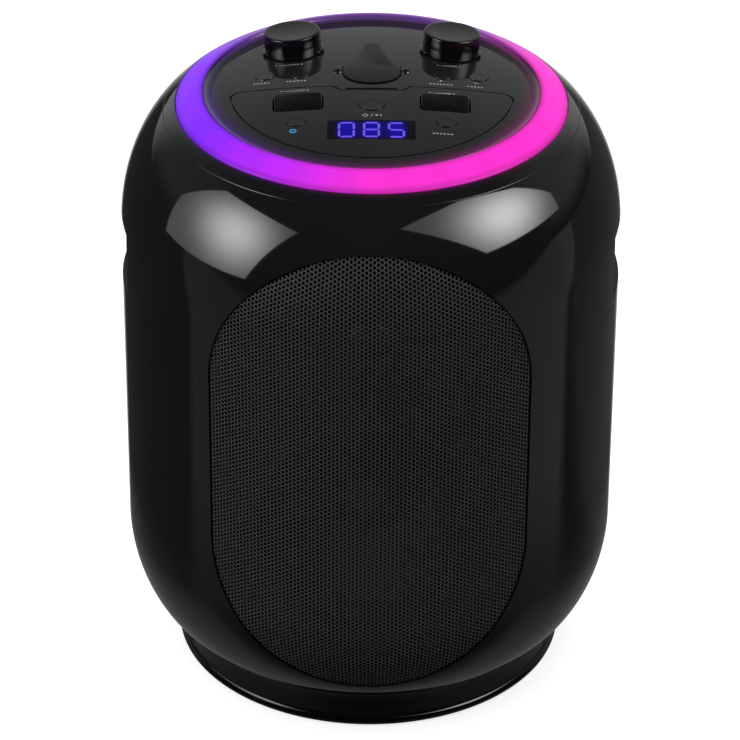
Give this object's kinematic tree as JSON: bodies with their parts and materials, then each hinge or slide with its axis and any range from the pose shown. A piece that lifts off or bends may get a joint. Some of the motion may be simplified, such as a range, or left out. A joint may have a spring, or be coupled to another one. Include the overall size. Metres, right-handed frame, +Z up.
{
  "type": "karaoke speaker",
  "caption": "Barrel-shaped karaoke speaker with a perforated stadium grille, side grip cups, a lit top ring and a domed control panel with knobs, rockers, keys, a display and a device rest.",
  "frame": {"origin": "on the floor below the middle of the body, at the underside of the feet", "axes": "+Z up along the barrel's axis, the grille faces -Y, +X to the right seen from the front"},
  "size_m": [0.2756, 0.2746, 0.3607],
  "materials": {
    "gloss_black": "high-gloss moulded black",
    "pin_black": "polished black heads",
    "grille_black": "satin black perforated sheet",
    "rubber": "matt black rubber",
    "satin_black": "fine textured black",
    "diffuser": "milky diffuser lit blue-violet to magenta",
    "board": "green circuit board",
    "window": "smoked clear window",
    "display": "blue lit digits",
    "steel": "plated steel",
    "battery": "blue shrink sleeve"
  },
  "bodies": {
    "cabinet": {"housing": "gloss_black", "grip_left": "gloss_black", "grip_right": "gloss_black", "base_pan": "gloss_black", "foot_1": "rubber", "foot_2": "rubber", "foot_3": "rubber", "foot_4": "rubber", "speaker_grille": "grille_black", "baffle": "satin_black", "woofer_basket": "satin_black", "woofer_cone": "rubber", "woofer_magnet": "steel", "tweeter": "satin_black", "top_deck": "satin_black", "trim_ring": "gloss_black", "ring_diffuser": "diffuser", "ring_board": "board", "control_panel": "gloss_black", "control_inlay": "gloss_black", "display_window": "window", "display_module": "display", "control_left": "steel", "control_right": "steel", "rocker_pin_left": "steel", "rocker_pin_right": "steel", "control_board": "board", "rest_pin": "pin_black", "battery_pack": "battery", "amplifier_board": "board", "rear_panel": "satin_black", "mic_socket_1": "steel", "mic_socket_2": "steel", "audio_socket": "steel", "data_socket": "steel", "charge_socket": "steel"},
    "knob_left": {"knob_left": "gloss_black", "shaft_left": "steel"},
    "knob_right": {"knob_right": "gloss_black", "shaft_right": "steel"},
    "rocker_left": {"rocker_left": "gloss_black"},
    "rocker_right": {"rocker_right": "gloss_black"},
    "key_power": {"key_power": "gloss_black"},
    "key_input": {"key_input": "gloss_black"},
    "key_function": {"key_function": "gloss_black"},
    "key_record": {"key_record": "gloss_black"},
    "key_play": {"key_play": "gloss_black"},
    "key_vocal": {"key_vocal": "gloss_black"},
    "key_track": {"key_track": "gloss_black"},
    "rest": {"rest_arm": "gloss_black"}
  },
  "joints": [
    {"name": "knob_left_turn", "type": "hinge", "parent": "cabinet", "child": "knob_left", "pos_m": [-0.0433, 0.0445, 0.34718], "axis": [-0.0765, 0.0786, 0.994], "range_deg": [-150, 150]},
    {"name": "knob_right_turn", "type": "hinge", "parent": "cabinet", "child": "knob_right", "pos_m": [0.0433, 0.0445, 0.34718], "axis": [0.0765, 0.0786, 0.994], "range_deg": [-150, 150]},
    {"name": "rocker_left_tilt", "type": "hinge", "parent": "cabinet", "child": "rocker_left", "pos_m": [-0.03918, -0.02127, 0.34282], "axis": [-0.0013, 0.9993, 0.038], "range_deg": [-4, 4], "stiffness_Nm_per_rad": 0.4},
    {"name": "rocker_right_tilt", "type": "hinge", "parent": "cabinet", "child": "rocker_right", "pos_m": [0.03918, -0.02127, 0.34282], "axis": [0.0013, 0.9993, 0.038], "range_deg": [-4, 4], "stiffness_Nm_per_rad": 0.4},
    {"name": "key_power_press", "type": "slide", "parent": "cabinet", "child": "key_power", "axis": [0, -0.0429, 0.9991], "range_m": [-0.0008, 0], "stiffness_N_per_m": 400},
    {"name": "key_input_press", "type": "slide", "parent": "cabinet", "child": "key_input", "axis": [-0.071, -0.0716, 0.9949], "range_m": [-0.0008, 0], "stiffness_N_per_m": 400},
    {"name": "key_function_press", "type": "slide", "parent": "cabinet", "child": "key_function", "axis": [0.071, -0.0716, 0.9949], "range_m": [-0.0008, 0], "stiffness_N_per_m": 400},
    {"name": "key_record_press", "type": "slide", "parent": "cabinet", "child": "key_record", "axis": [-0.1025, 0.0239, 0.9944], "range_m": [-0.0008, 0], "stiffness_N_per_m": 400},
    {"name": "key_play_press", "type": "slide", "parent": "cabinet", "child": "key_play", "axis": [-0.0689, 0.0216, 0.9974], "range_m": [-0.0008, 0], "stiffness_N_per_m": 400},
    {"name": "key_vocal_press", "type": "slide", "parent": "cabinet", "child": "key_vocal", "axis": [0.0689, 0.0216, 0.9974], "range_m": [-0.0008, 0], "stiffness_N_per_m": 400},
    {"name": "key_track_press", "type": "slide", "parent": "cabinet", "child": "key_track", "axis": [0.1025, 0.0239, 0.9944], "range_m": [-0.0008, 0], "stiffness_N_per_m": 400},
    {"name": "rest_tilt", "type": "hinge", "parent": "cabinet", "child": "rest", "pos_m": [0, 0.01446, 0.34881], "axis": [1, 0, 0], "range_deg": [0, 60]}
  ]
}
